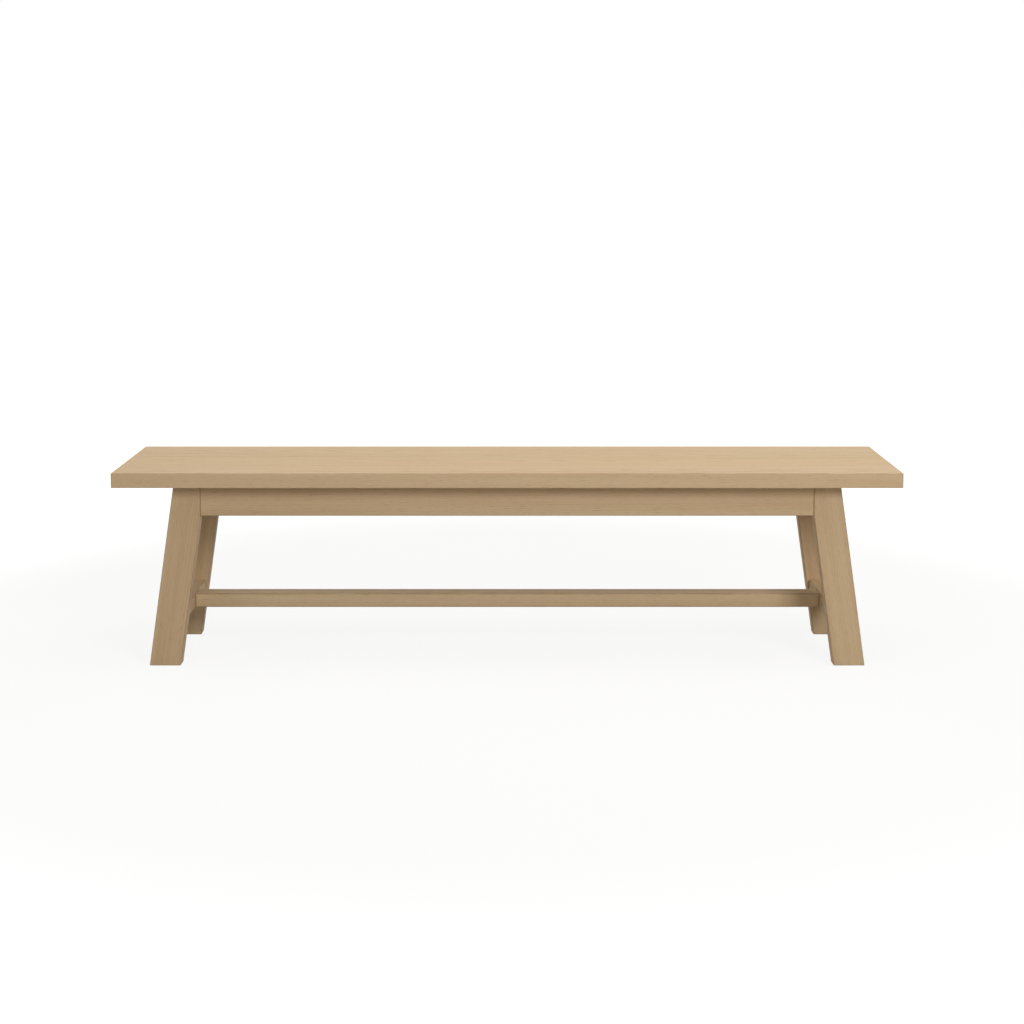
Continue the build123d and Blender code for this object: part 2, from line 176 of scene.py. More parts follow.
def lacquered_oak(name, heart, turn=(0, 0, 0), pale="#dcc29c", deep="#c5a47c"):
    """Planed European oak under matt clear lacquer: pale straw brown, in long soft streaks, with
    faint growth rings that run out to arches, short dark pores in their spring wood, and a low sheen.
    The heart is a point in mm on the middle line of the tree, and the grain runs along the turned X."""
    material = bpy.data.materials.new(name)
    material.use_nodes = True
    tree = material.node_tree
    surface = tree.nodes["Principled BSDF"]
    place = add_node(tree, "ShaderNodeTexCoord")
    wood = add_node(
        tree, "ShaderNodeMapping", {"Location": [c * MM for c in heart], "Rotation": turn},
        {"Vector": place.outputs["Object"]}, vector_type="TEXTURE",
    ).outputs["Vector"]

    # The rings swell and lean along the trunk, over about 0.9 m of length and 120 mm of width
    swell = grain_figure(tree, wood, length=900, width=120, detail=2)
    section = add_node(
        tree, "ShaderNodeVectorMath", {1: (0, 1, 1)}, {0: wood}, operation="MULTIPLY",
    ).outputs[0]
    radius = add_node(
        tree, "ShaderNodeVectorMath", {}, {0: section}, operation="LENGTH",
    ).outputs["Value"]
    swollen = add_node(
        tree, "ShaderNodeMath", {1: RING_WANDER * MM}, {0: swell, 2: radius}, operation="MULTIPLY_ADD",
    ).outputs[0]
    rings = add_node(
        tree, "ShaderNodeMath", {1: RING_WIDTH * MM}, {0: swollen}, operation="DIVIDE",
    ).outputs[0]
    age = add_node(tree, "ShaderNodeMath", {}, {0: rings}, operation="FRACT").outputs[0]
    # The open spring wood is the first third of a ring, and closes slowly
    spring_wood = add_node(
        tree, "ShaderNodeMapRange", {"From Min": 0.1, "From Max": 0.6, "To Min": 1, "To Max": 0},
        {"Value": age}, interpolation_type="SMOOTHSTEP",
    ).outputs["Result"]

    # Fibres are drawn 2 mm wide, because the real ones are too fine to show
    fibre = grain_figure(tree, wood, length=160, width=2, detail=3, roughness=0.6)
    # Pores are the peaks of their figure, half as long and wide as it is. So they are some 8 mm long,
    # and drawn 0.7 mm wide where the real ones are 0.3 mm
    pore_figure = grain_figure(tree, wood, length=16, width=1.4, detail=1)
    pore = add_node(
        tree, "ShaderNodeMapRange", {"From Min": 0.56, "From Max": 0.66}, {"Value": pore_figure},
    ).outputs["Result"]
    pore_share = add_node(
        tree, "ShaderNodeMath", {1: 1 - SUMMER_PORES, 2: SUMMER_PORES}, {0: spring_wood},
        operation="MULTIPLY_ADD",
    ).outputs[0]
    pores = add_node(
        tree, "ShaderNodeMath", {}, {0: pore, 1: pore_share}, operation="MULTIPLY",
    ).outputs[0]
    # Broad streaks, some 35 mm wide and over a metre long
    streak = grain_figure(tree, wood, length=1300, width=35, detail=3)

    ring_tone = add_node(
        tree, "ShaderNodeMath", {1: SPRING_WOOD_WEIGHT}, {0: spring_wood}, operation="MULTIPLY",
    ).outputs[0]
    fibre_tone = add_node(
        tree, "ShaderNodeMath", {1: FIBRE_WEIGHT}, {0: fibre, 2: ring_tone}, operation="MULTIPLY_ADD",
    ).outputs[0]
    tone = add_node(tree, "ShaderNodeMath", {}, {0: streak, 1: fibre_tone}, operation="ADD").outputs[0]
    depth_of_tone = add_node(
        tree, "ShaderNodeMapRange", {"From Min": 0.4, "From Max": 1.1}, {"Value": tone},
    ).outputs["Result"]
    body = add_node(
        tree, "ShaderNodeMix", {6: linear(pale), 7: linear(deep)}, {0: depth_of_tone}, data_type="RGBA",
    ).outputs[2]
    pore_tone = add_node(
        tree, "ShaderNodeMath", {1: PORE_DARKNESS}, {0: pores}, operation="MULTIPLY",
    ).outputs[0]
    pored = add_node(
        tree, "ShaderNodeMix", {7: linear("#8a6a48")}, {0: pore_tone, 6: body}, data_type="RGBA",
    ).outputs[2]

    # End grain drinks the lacquer and goes darker
    facing = add_node(
        tree, "ShaderNodeMapping", {"Rotation": turn}, {"Vector": place.outputs["Normal"]},
        vector_type="TEXTURE",
    ).outputs["Vector"]
    along = add_node(tree, "ShaderNodeSeparateXYZ", {}, {0: facing}).outputs["X"]
    along_size = add_node(tree, "ShaderNodeMath", {}, {0: along}, operation="ABSOLUTE").outputs[0]
    end_grain = add_node(
        tree, "ShaderNodeMapRange", {"From Min": 0.5, "From Max": 0.9, "To Max": END_GRAIN_DARKNESS},
        {"Value": along_size},
    ).outputs["Result"]
    ended = add_node(
        tree, "ShaderNodeMix", {7: linear("#9c7b54")}, {0: end_grain, 6: pored}, data_type="RGBA",
    ).outputs[2]
    # Sanded through the lacquer and rubbed, an arris goes browner than the faces in places. The same
    # darkening, at least a little on every eased face, is also painted shade: the dark line that falls
    # along an edge and at a joint.
    arris = add_node(tree, "ShaderNodeAttribute", attribute_name="worn arris").outputs["Fac"]
    darkened_places = add_node(
        tree, "ShaderNodeTexNoise", {"Scale": 1 / (ARRIS_DARKENING_LENGTH * MM), "Detail": 3}, {"Vector": wood},
    ).outputs["Fac"]
    darkening_amount = add_node(
        tree, "ShaderNodeMapRange", {"From Min": 0.35, "From Max": 0.65, "To Min": 0.15, "To Max": 0.4},
        {"Value": darkened_places},
    ).outputs["Result"]
    arris_wear_and_shade = add_node(
        tree, "ShaderNodeMath", {}, {0: arris, 1: darkening_amount}, operation="MULTIPLY",
    ).outputs[0]
    # Wear and painted shade: the eased faces go over to a darker brown
    coloured = add_node(
        tree, "ShaderNodeMix", {7: linear("#94744f")}, {0: arris_wear_and_shade, 6: ended}, data_type="RGBA",
    ).outputs[2]
    tree.links.new(coloured, surface.inputs["Base Color"])

    # Lacquer lies thinner over the pores, which stay a little open
    sheen = add_node(
        tree, "ShaderNodeMapRange", {"To Min": 0.6, "To Max": 0.72}, {"Value": pores},
    ).outputs["Result"]
    tree.links.new(sheen, surface.inputs["Roughness"])
    relief = add_node(
        tree, "ShaderNodeMath", {1: FIBRE_RELIEF}, {0: fibre, 2: pores}, operation="MULTIPLY_ADD",
    ).outputs[0]
    grain_relief = add_node(
        tree, "ShaderNodeBump", {"Strength": 0.5, "Distance": PORE_DEPTH * MM}, {"Height": relief},
        invert=True,
    ).outputs["Normal"]
    tree.links.new(grain_relief, surface.inputs["Normal"])
    # A matt lacquer scatters most of its mirror light
    surface.inputs["IOR"].default_value = 1.5
    surface.inputs["Specular IOR Level"].default_value = 0.25
    return material


BENCH_LENGTH = 1800
BENCH_DEPTH = 400
SEAT_HEIGHT = 457
TOP_UNDERSIDE = 423
BOARD_WIDTH = 100
TOP_ARRIS = 1.5
LOWER_ARRIS = 1

# Hearts of the four trees: along the bench, then across and up from the middle of each board
BOARD_HEARTS = ((-2700, -35, -95), (317, 30, 110), (634, 10, -70), (951, -45, 120))
# The boards of one pack differ a little in colour, and their grain in its course
BOARD_COLOURS = (
    ("#dabf99", "#cbab85"), ("#dbc098", "#cbab83"), ("#dac098", "#cbac84"), ("#dcc29b", "#cead86"),
)
GRAIN_RISE = math.radians(1.1)
GRAIN_SWERVES = [math.radians(degrees) for degrees in (0.6, -0.6, 0.6, -0.6)]


def on_panel_outline(first, second):
    """Whether an edge is on the outline of the whole panel, and not where two boards meet."""
    at_side = lies_at_an_end(first, second, Y, BENCH_DEPTH / 2)
    at_end = lies_at_an_end(first, second, X, BENCH_LENGTH / 2)
    return at_side or (at_end and not runs_along(first, second, Z))


for number in range(4):
    near = number * BOARD_WIDTH - BENCH_DEPTH / 2
    board = squared_stock(
        f"seat_board_{number + 1}",
        (-BENCH_LENGTH / 2, near, TOP_UNDERSIDE),
        (BENCH_LENGTH / 2, near + BOARD_WIDTH, SEAT_HEIGHT),
    )
    ease(board, TOP_ARRIS, lambda a, b: on_panel_outline(a, b) and not lies_at(a, b, Z, TOP_UNDERSIDE))
    ease(
        board, LOWER_ARRIS,
        lambda a, b: on_panel_outline(a, b) and lies_at(a, b, Z, TOP_UNDERSIDE), steps=2,
    )
    heart_x, heart_y, heart_z = BOARD_HEARTS[number]
    pale, deep = BOARD_COLOURS[number]
    board_oak = lacquered_oak(
        f"lacquered oak of seat board {number + 1}",
        (heart_x, near + BOARD_WIDTH / 2 + heart_y, SEAT_HEIGHT + heart_z),
        turn=(0, GRAIN_RISE, GRAIN_SWERVES[number]), pale=pale, deep=deep,
    )
    fit_up(board, [f"top_board_{number + 1}"], board_oak)


# Legs
# Four flat oak boards that lean outward along the bench, sawn with a knee so that they stand upright
# against the long aprons. Each is eased all round and dowelled and bolted to its aprons.

LEG_LEAN = math.radians(8.2)
LEG_WIDTH = 72
LEG_THICKNESS = 35
LEG_FACE = 158
LEG_BACK = LEG_FACE - LEG_THICKNESS
LEG_ARRIS = 2
FOOT_EASE = 2
LEG_TOP_OUTER = 766
LEG_FOOT_OUTER = LEG_TOP_OUTER + math.tan(LEG_LEAN) * TOP_UNDERSIDE
LEG_FOOT_INNER = LEG_FOOT_OUTER - LEG_WIDTH
APRON_BOTTOM = 351
LEG_JOINT = LEG_FOOT_INNER - math.tan(LEG_LEAN) * APRON_BOTTOM
# The inner back corner is sawn flat, across 8 mm of each face, where a bolt goes in
BOLT_FLAT = 8
BOLT_FLAT_BOTTOM = 354.5
# It takes a square cutter, as wide as two flats and turned onto its corner. The cutter's middle is
# this far from the leg's corner, along the bench and across it
CUTTER_OFFSET = BOLT_FLAT / 2 - BOLT_FLAT / math.sqrt(2)
# The grain leans a little more than the leg does
LEG_GRAIN_LEAN = LEG_LEAN + math.radians(0.7)


def saw(piece, point, outward):
    """Saws a piece through a point in mm, and takes away what is on the outward side."""
    take_up(piece)
    bpy.ops.object.mode_set(mode="EDIT")
    bpy.ops.mesh.select_all(action="SELECT")
    bpy.ops.mesh.bisect(
        plane_co=Vector(point) * MM, plane_no=outward, use_fill=True, clear_outer=True, threshold=1e-6,
    )
    bpy.ops.object.mode_set(mode="OBJECT")


def work_with(piece, tool, operation="DIFFERENCE"):
    """Cuts the shape of a tool out of a piece, or keeps what is inside both, and puts the tool away."""
    take_up(piece)
    cut = piece.modifiers.new("Cut", "BOOLEAN")
    cut.operation = operation
    cut.object = tool
    cut.solver = "EXACT"
    bpy.ops.object.modifier_apply(modifier="Cut")
    bpy.data.objects.remove(tool)


def cut_away(piece, corner, far_corner, turn=0):
    """Cuts a box, between two opposite corners in mm and turned about its upright axis, out of a piece."""
    cutter = squared_stock("cutter", corner, far_corner)
    middle = (Vector(corner) + Vector(far_corner)) / 2 * MM
    bpy.ops.object.mode_set(mode="EDIT")
    bpy.ops.mesh.select_all(action="SELECT")
    bpy.ops.transform.rotate(value=turn, orient_axis="Z", center_override=middle)
    bpy.ops.object.mode_set(mode="OBJECT")
    work_with(piece, cutter)


for end, end_name in ((-1, "left"), (1, "right")):
    for side, side_name in ((-1, "front"), (1, "rear")):
        leg = squared_stock(
            f"{side_name}_{end_name}_leg",
            (end * LEG_JOINT, side * LEG_FACE, 0),
            (end * LEG_FOOT_OUTER, side * LEG_BACK, TOP_UNDERSIDE),
        )
        slope = (end * math.cos(LEG_LEAN), 0, math.sin(LEG_LEAN))
        saw(leg, (end * LEG_FOOT_OUTER, 0, 0), slope)
        saw(leg, (end * LEG_FOOT_INNER, 0, 0), [-c for c in slope])
        ease(leg, LEG_ARRIS, lambda a, b: runs_along(a, b, Z) and abs(a.y - b.y) < SAME_PLACE)
        ease(leg, FOOT_EASE, lambda a, b: lies_at(a, b, Z, 0), steps=2)
        cut_x = end * (LEG_JOINT + CUTTER_OFFSET)
        cut_y = side * (LEG_BACK + CUTTER_OFFSET)
        cut_away(
            leg,
            (cut_x - BOLT_FLAT, cut_y - BOLT_FLAT, BOLT_FLAT_BOTTOM),
            (cut_x + BOLT_FLAT, cut_y + BOLT_FLAT, TOP_UNDERSIDE + 1),
            turn=math.radians(45),
        )
        # The four legs come from unlike places in their trees
        leg_oak = lacquered_oak(
            f"lacquered oak of {side_name} {end_name} leg",
            (end * 790 - side * 60, side * (LEG_FACE - 70 - 25 * end), 150 + 90 * end),
            turn=(0, math.radians(-90) - end * LEG_GRAIN_LEAN, 0),
        )
        fit_up(leg, [f"leg_{side_name}_{end_name}"], leg_oak)


# Long aprons
# Oak rails, flush with the faces of the legs, grooved along the back for the turn buttons. They are
# dowelled to the legs, and the eased corners leave a fine dark line at each joint, which painted shade
# on the eased faces makes darker.

APRON_THICKNESS = 22
APRON_ARRIS = 2
LONG_APRON_INNER = LEG_FACE - APRON_THICKNESS
GROOVE_TOP = 412
GROOVE_BOTTOM = 404
GROOVE_DEPTH = 9

for side, side_name in ((-1, "front"), (1, "rear")):
    apron = squared_stock(
        f"{side_name}_long_apron",
        (-LEG_JOINT, side * LEG_FACE, APRON_BOTTOM), (LEG_JOINT, side * LONG_APRON_INNER, TOP_UNDERSIDE),
    )
    ease(
        apron, APRON_ARRIS,
        lambda a, b: lies_at(a, b, Z, APRON_BOTTOM) and runs_along(a, b, X)
        or lies_at(a, b, Y, side * LEG_FACE) and runs_along(a, b, Z),
    )
    cut_away(
        apron,
        (-LEG_JOINT - 1, side * (LONG_APRON_INNER - 1), GROOVE_BOTTOM),
        (LEG_JOINT + 1, side * (LONG_APRON_INNER + GROOVE_DEPTH), GROOVE_TOP),
    )
    apron_oak = lacquered_oak(
        f"lacquered oak of {side_name} long apron",
        (side * 1110, side * (LEG_FACE - 45), 395 + side * 110),
        turn=(0, math.radians(side * 0.5), math.radians(0.4)),
    )
    fit_up(apron, [f"{side_name}_apron"], apron_oak)


# Short aprons
# Oak rails between the legs of each end, set in behind the slope of the legs and dowelled to them.
# They are grooved along their inner faces too, for the turn buttons of the ends.

END_APRON_SETBACK = 24
END_APRON_INNER = LEG_JOINT + END_APRON_SETBACK
END_APRON_OUTER = END_APRON_INNER + APRON_THICKNESS

for end, end_name in ((-1, "left"), (1, "right")):
    end_apron = squared_stock(
        f"{end_name}_short_apron",
        (end * END_APRON_INNER, -LEG_BACK, APRON_BOTTOM), (end * END_APRON_OUTER, LEG_BACK, TOP_UNDERSIDE),
    )
    ease(end_apron, APRON_ARRIS, lambda a, b: lies_at(a, b, Z, APRON_BOTTOM) and runs_along(a, b, Y))
    cut_away(
        end_apron,
        (end * (END_APRON_INNER - 1), -LEG_BACK - 1, GROOVE_BOTTOM),
        (end * (END_APRON_INNER + GROOVE_DEPTH), LEG_BACK + 1, GROOVE_TOP),
    )
    end_apron_oak = lacquered_oak(
        f"lacquered oak of {end_name} short apron",
        (end * (END_APRON_OUTER - 80), end * 130, 400),
        turn=(0, 0, math.radians(90 + end)),
    )
    fit_up(end_apron, [f"end_apron_{end_name}"], end_apron_oak)


# End stretchers
# Low oak bars from leg to leg, twin-tenoned into the legs. They are eased all round, shoulders too, so
# that a fine dark line shows at each joint, darkened further by painted shade on the eased faces. A
# counterbore at the middle takes the long stretcher's bolt.

STRETCHER_BOTTOM = 105
STRETCHER_TOP = 138
STRETCHER_MIDDLE = (STRETCHER_BOTTOM + STRETCHER_TOP) / 2
STRETCHER_ARRIS = 3
SHOULDER_ARRIS = 2.8
END_STRETCHER_WIDTH = 62
END_STRETCHER_MIDDLE = LEG_FOOT_OUTER - LEG_WIDTH / 2 - math.tan(LEG_LEAN) * STRETCHER_MIDDLE
END_STRETCHER_INNER = END_STRETCHER_MIDDLE - END_STRETCHER_WIDTH / 2
END_STRETCHER_OUTER = END_STRETCHER_MIDDLE + END_STRETCHER_WIDTH / 2
COUNTERBORE_WIDTH = 14.3
COUNTERBORE_DEPTH = 12
# Corners of a round hole: enough for a large one to look round, and for the small ones of screws
HOLE_SIDES = 48
SMALL_HOLE_SIDES = 24


def bore(piece, mouth, inward, width, depth, sides=HOLE_SIDES):
    """Makes a flat-bottomed hole of a width and depth in mm, inward from its mouth."""
    bpy.ops.object.select_all(action="DESELECT")
    bpy.ops.mesh.primitive_cylinder_add(
        vertices=sides, radius=width / 2 * MM, depth=2 * depth * MM, location=Vector(mouth) * MM,
        rotation=Vector(inward).to_track_quat("Z", "Y").to_euler(),
    )
    work_with(piece, bpy.context.object)


for end, end_name in ((-1, "left"), (1, "right")):
    end_stretcher = squared_stock(
        f"{end_name}_end_stretcher",
        (end * END_STRETCHER_INNER, -LEG_BACK, STRETCHER_BOTTOM),
        (end * END_STRETCHER_OUTER, LEG_BACK, STRETCHER_TOP),
    )
    ease(end_stretcher, STRETCHER_ARRIS, lambda a, b: runs_along(a, b, Y), steps=4)
    ease(end_stretcher, SHOULDER_ARRIS, lambda a, b: lies_at_an_end(a, b, Y, LEG_BACK), steps=4)
    bore(
        end_stretcher, (end * END_STRETCHER_OUTER, 0, STRETCHER_MIDDLE), (-end, 0, 0), COUNTERBORE_WIDTH,
        COUNTERBORE_DEPTH,
    )
    end_stretcher_oak = lacquered_oak(
        f"lacquered oak of {end_name} end stretcher",
        (end * (END_STRETCHER_OUTER - 95), end * 170, STRETCHER_MIDDLE + 30),
        turn=(0, 0, math.radians(90 - end)),
    )
    fit_up(end_stretcher, [f"end_stretcher_{end_name}"], end_stretcher_oak)


# Long stretcher
# A low oak bar that ties the two ends, eased all round, tenoned into the end stretchers and pulled
# tight by a bolt and a barrel nut at each end.

LONG_STRETCHER_WIDTH = 50
BARREL_NUT_LENGTH = 18
BARREL_NUT_SETBACK = 36
BARREL_NUT_X = END_STRETCHER_INNER - BARREL_NUT_SETBACK
BARREL_BORE_WIDTH = 10
# Bored from below, so that the nut stops with its middle at the bolt
BARREL_BORE_DEPTH = (STRETCHER_TOP - STRETCHER_BOTTOM + BARREL_NUT_LENGTH) / 2

long_stretcher = squared_stock(
    "low_long_stretcher",
    (-END_STRETCHER_INNER, -LONG_STRETCHER_WIDTH / 2, STRETCHER_BOTTOM),
    (END_STRETCHER_INNER, LONG_STRETCHER_WIDTH / 2, STRETCHER_TOP),
)
ease(long_stretcher, STRETCHER_ARRIS, lambda a, b: runs_along(a, b, X), steps=4)
ease(long_stretcher, SHOULDER_ARRIS, lambda a, b: lies_at_an_end(a, b, X, END_STRETCHER_INNER), steps=4)
for end in (-1, 1):
    bore(
        long_stretcher, (end * BARREL_NUT_X, 0, STRETCHER_BOTTOM), (0, 0, 1), BARREL_BORE_WIDTH,
        BARREL_BORE_DEPTH,
    )
# The long stretcher's oak is painted paler than the rest: painted light, which makes the bar brighter than
# its lamps do
long_stretcher_oak = lacquered_oak(
    "lacquered oak of long stretcher",
    (-150, 60, STRETCHER_MIDDLE - 75),
    turn=(0, math.radians(0.7), math.radians(-0.5)), pale="#dfc69f", deep="#c9a981",
)
fit_up(long_stretcher, ["long_stretcher"], long_stretcher_oak)


# Cross rails
# Three rails of plain steamed beech, planed and left without lacquer. Their ends are housed in the long
# aprons, and short slots let the top move with the seasons round the screws that hold it.


def bare_beech(name, turn=0):
    """Planed steamed beech, bare: even pinkish tan, with short dark flecks along the grain, which runs
    level at a turn from the length of the bench."""
    material = bpy.data.materials.new(name)
    material.use_nodes = True
    tree = material.node_tree
    surface = tree.nodes["Principled BSDF"]
    place = add_node(tree, "ShaderNodeTexCoord")
    wood = add_node(
        tree, "ShaderNodeMapping", {"Rotation": (0, 0, turn)}, {"Vector": place.outputs["Object"]},
        vector_type="TEXTURE",
    ).outputs["Vector"]
    # Flecks are the peaks of their figure: some 3 mm long, and drawn 0.6 mm wide where the real ones
    # are 0.4 mm
    fleck_figure = grain_figure(tree, wood, length=5, width=0.9, detail=1)
    fleck = add_node(
        tree, "ShaderNodeMapRange", {"From Min": 0.58, "From Max": 0.7, "To Max": 0.45},
        {"Value": fleck_figure},
    ).outputs["Result"]
    streak = grain_figure(tree, wood, length=300, width=9, detail=3)
    body = add_node(
        tree, "ShaderNodeMix", {6: linear("#d6b690"), 7: linear("#c49e74")}, {0: streak}, data_type="RGBA",
    ).outputs[2]
    flecked = add_node(
        tree, "ShaderNodeMix", {7: linear("#94694a")}, {0: fleck, 6: body}, data_type="RGBA",
    ).outputs[2]
    tree.links.new(flecked, surface.inputs["Base Color"])
    surface.inputs["Roughness"].default_value = 0.68
    relief = add_node(
        tree, "ShaderNodeBump", {"Strength": 0.5, "Distance": 0.05 * MM}, {"Height": streak},
    ).outputs["Normal"]
    tree.links.new(relief, surface.inputs["Normal"])
    return material


RAIL_PITCH = 420
RAIL_WIDTH = 45
RAIL_BOTTOM = 393
RAIL_CHAMFER = 2
RAIL_HOUSING = 6
RAIL_SCREW_SETBACK = 45
RAIL_SCREW_SINK = 8
SCREW_HEAD_HOLE = 8.8
SLOT_PLAY = 4

for step, rail_name in ((-1, "left"), (0, "centre"), (1, "right")):
    rail_x = step * RAIL_PITCH
    rail_end = LONG_APRON_INNER + RAIL_HOUSING
    rail = squared_stock(
        f"{rail_name}_top_rail",
        (rail_x - RAIL_WIDTH / 2, -rail_end, RAIL_BOTTOM),
        (rail_x + RAIL_WIDTH / 2, rail_end, TOP_UNDERSIDE),
    )
    ease(rail, RAIL_CHAMFER, lambda a, b: lies_at(a, b, Z, RAIL_BOTTOM) and runs_along(a, b, Y), steps=1)
    for side in (-1, 1):
        slot_y = side * (LONG_APRON_INNER - RAIL_SCREW_SETBACK)
        cut_away(
            rail,
            (rail_x - SCREW_HEAD_HOLE / 2, slot_y - SLOT_PLAY / 2, RAIL_BOTTOM - 1),
            (rail_x + SCREW_HEAD_HOLE / 2, slot_y + SLOT_PLAY / 2, RAIL_BOTTOM + RAIL_SCREW_SINK),
        )
        for slot_end in (-SLOT_PLAY / 2, SLOT_PLAY / 2):
            bore(
                rail, (rail_x, slot_y + slot_end, RAIL_BOTTOM), (0, 0, 1), SCREW_HEAD_HOLE, RAIL_SCREW_SINK,
                sides=SMALL_HOLE_SIDES,
            )
    rail_beech = bare_beech(f"bare beech of {rail_name} top rail", turn=math.radians(90))
    fit_up(rail, [f"cross_rail_{rail_name}"], rail_beech)


# Corner blocks
# Beech blocks, sawn at 45 degrees to sit across the corners of the frame, a millimetre clear of the
# legs. Each is screwed to both aprons through sunk holes, and bored for the bolt into its leg.

# The bolts go in at this height, and the screws of a block stand half a pitch above and below
FIXING_HEIGHT = 377.5
BLOCK_HEIGHT = 46
BLOCK_THICKNESS = 28
BLOCK_GAP = 1
BLOCK_EASE = 0.8
BLOCK_SCREW_PITCH = 26
BLOCK_SCREW_GRIP = 10
# The holes are bored from this far off, well outside the block
BORING_DISTANCE = 20
# Over each sloping face of a block, the distances along and across the bench always add up to these
BLOCK_OUTER_FACE = LEG_JOINT + LEG_BACK - BLOCK_GAP * math.sqrt(2)
BLOCK_INNER_FACE = BLOCK_OUTER_FACE - BLOCK_THICKNESS * math.sqrt(2)
BLOCK_MIDDLE = (BLOCK_OUTER_FACE + BLOCK_INNER_FACE) / 2
# Screws into a long apron stand so far along the bench, and those into a short one so far across it
LONG_SCREW_X = BLOCK_MIDDLE - LONG_APRON_INNER
SHORT_SCREW_Y = BLOCK_MIDDLE - END_APRON_INNER

block_screw_places = []
for end, end_name in ((-1, "left"), (1, "right")):
    for side, side_name in ((-1, "front"), (1, "rear")):
        block = squared_stock(
            f"{side_name}_{end_name}_corner_block",
            (
                end * (BLOCK_INNER_FACE - LONG_APRON_INNER), side * (BLOCK_INNER_FACE - END_APRON_INNER),
                FIXING_HEIGHT - BLOCK_HEIGHT / 2,
            ),
            (end * END_APRON_INNER, side * LONG_APRON_INNER, FIXING_HEIGHT + BLOCK_HEIGHT / 2),
        )
        saw(block, (end * BLOCK_OUTER_FACE, 0, FIXING_HEIGHT), (end, side, 0))
        saw(block, (end * BLOCK_INNER_FACE, 0, FIXING_HEIGHT), (-end, -side, 0))
        # Only the level edges of the two sloping faces are eased
        ease(
            block, BLOCK_EASE,
            lambda a, b: abs(a.z - b.z) < SAME_PLACE
            and abs(end * a.x + side * a.y - end * b.x - side * b.y) < SAME_PLACE,
            steps=2,
        )
        for step in (-0.5, 0.5):
            height = FIXING_HEIGHT + step * BLOCK_SCREW_PITCH
            to_long = Vector((end * LONG_SCREW_X, side * (LONG_APRON_INNER - BLOCK_SCREW_GRIP), height))
            to_short = Vector((end * (END_APRON_INNER - BLOCK_SCREW_GRIP), side * SHORT_SCREW_Y, height))
            for seat, way in ((to_long, Vector((0, side, 0))), (to_short, Vector((end, 0, 0)))):
                block_screw_places.append((seat, way))
                bore(
                    block, seat - BORING_DISTANCE * way, way, SCREW_HEAD_HOLE, BORING_DISTANCE,
                    sides=SMALL_HOLE_SIDES,
                )
        block_beech = bare_beech(
            f"bare beech of {side_name} {end_name} block", turn=math.radians(-45 * end * side),
        )
        fit_up(block, [f"corner_block_{side_name}_{end_name}"], block_beech)


# Turn buttons
# Small beech blocks whose tongues run in the grooves of the aprons. Each turns on its screw, and holds
# the top down while it lets it shrink and swell.

BUTTON_WIDTH = 26
BUTTON_REACH = 32
BUTTON_TOP = 422.5
BUTTON_BOTTOM = 404.5
BUTTON_CHAMFER = 5
BUTTON_STANDOFF = 1
BUTTON_END = BUTTON_STANDOFF + BUTTON_REACH
TONGUE_LENGTH = 7
TONGUE_THICKNESS = 7
BUTTON_SCREW_SETBACK = 19
BUTTON_SCREW_SINK = 4
BUTTON_PITCH = 420
END_BUTTON_PITCH = 60


def set_out(pattern, name, places):
    """Copies a small piece to its places, each a point in mm and a turn, as one piece."""
    copies = []
    for point, turn in places:
        copied = pattern.copy()
        copied.data = pattern.data.copy()
        bpy.context.scene.collection.objects.link(copied)
        copied.location = Vector(point) * MM
        copied.rotation_euler = turn.to_euler()
        copies.append(copied)
    take_up(copies[0])
    for copied in copies:
        copied.select_set(True)
    bpy.ops.object.transform_apply(location=True, rotation=True, scale=True)
    bpy.ops.object.join()
    copies[0].name = copies[0].data.name = name
    bpy.data.objects.remove(pattern)
    return copies[0]


def button_pattern():
    """A button that stands against an apron at the origin and reaches out along Y."""
    button = squared_stock(
        "button",
        (-BUTTON_WIDTH / 2, -TONGUE_LENGTH, BUTTON_BOTTOM), (BUTTON_WIDTH / 2, BUTTON_END, BUTTON_TOP),
    )
    ease(
        button, BUTTON_CHAMFER,
        lambda a, b: lies_at(a, b, Z, BUTTON_BOTTOM) and lies_at(a, b, Y, BUTTON_END), steps=1,
    )
    # A rebate above and one below leave the tongue
    for low, high in ((GROOVE_TOP, TOP_UNDERSIDE), (BUTTON_BOTTOM - 1, GROOVE_TOP - TONGUE_THICKNESS)):
        cut_away(button, (-BUTTON_WIDTH, -2 * TONGUE_LENGTH, low), (BUTTON_WIDTH, BUTTON_STANDOFF, high))
    bore(
        button, (0, BUTTON_SCREW_SETBACK, BUTTON_BOTTOM), (0, 0, 1), SCREW_HEAD_HOLE, BUTTON_SCREW_SINK,
        sides=SMALL_HOLE_SIDES,
    )
    return button


long_button_places = [
    ((step * BUTTON_PITCH, side * LONG_APRON_INNER, 0), Quaternion((0, 0, 1), math.radians(90 + 90 * side)))
    for side in (-1, 1) for step in (-1.5, -0.5, 0.5, 1.5)
]
end_button_places = [
    ((end * END_APRON_INNER, step * END_BUTTON_PITCH, 0), Quaternion((0, 0, 1), math.radians(90 * end)))
    for end in (-1, 1) for step in (-0.5, 0.5)
]
long_buttons = set_out(button_pattern(), "long_side_turn_buttons", long_button_places)
long_button_beech = bare_beech("bare beech of the long sides' buttons", turn=math.radians(90))
fit_up(long_buttons, ["top_buttons"], long_button_beech)
end_buttons = set_out(button_pattern(), "short_side_turn_buttons", end_button_places)
end_button_beech = bare_beech("bare beech of the short sides' buttons")
fit_up(end_buttons, ["top_buttons"], end_button_beech)


# Dowels
# Straight beech pins with eased ends, glued into the aprons and legs, where they can't be seen. They
# are the model's own solids, finished in bare beech.

for dowels, grain_turn in (("apron_dowels", 0), ("end_apron_dowels", math.radians(90))):
    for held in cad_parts[dowels].material_slots:
        held.material = bare_beech(f"bare beech of {dowels}", grain_turn)


# Wood screws
# Pan-headed screws, cold-formed in mild steel with a cross recess and plated bright with zinc. They
# are driven from inside, through the corner blocks, the turn buttons and the cross rails.


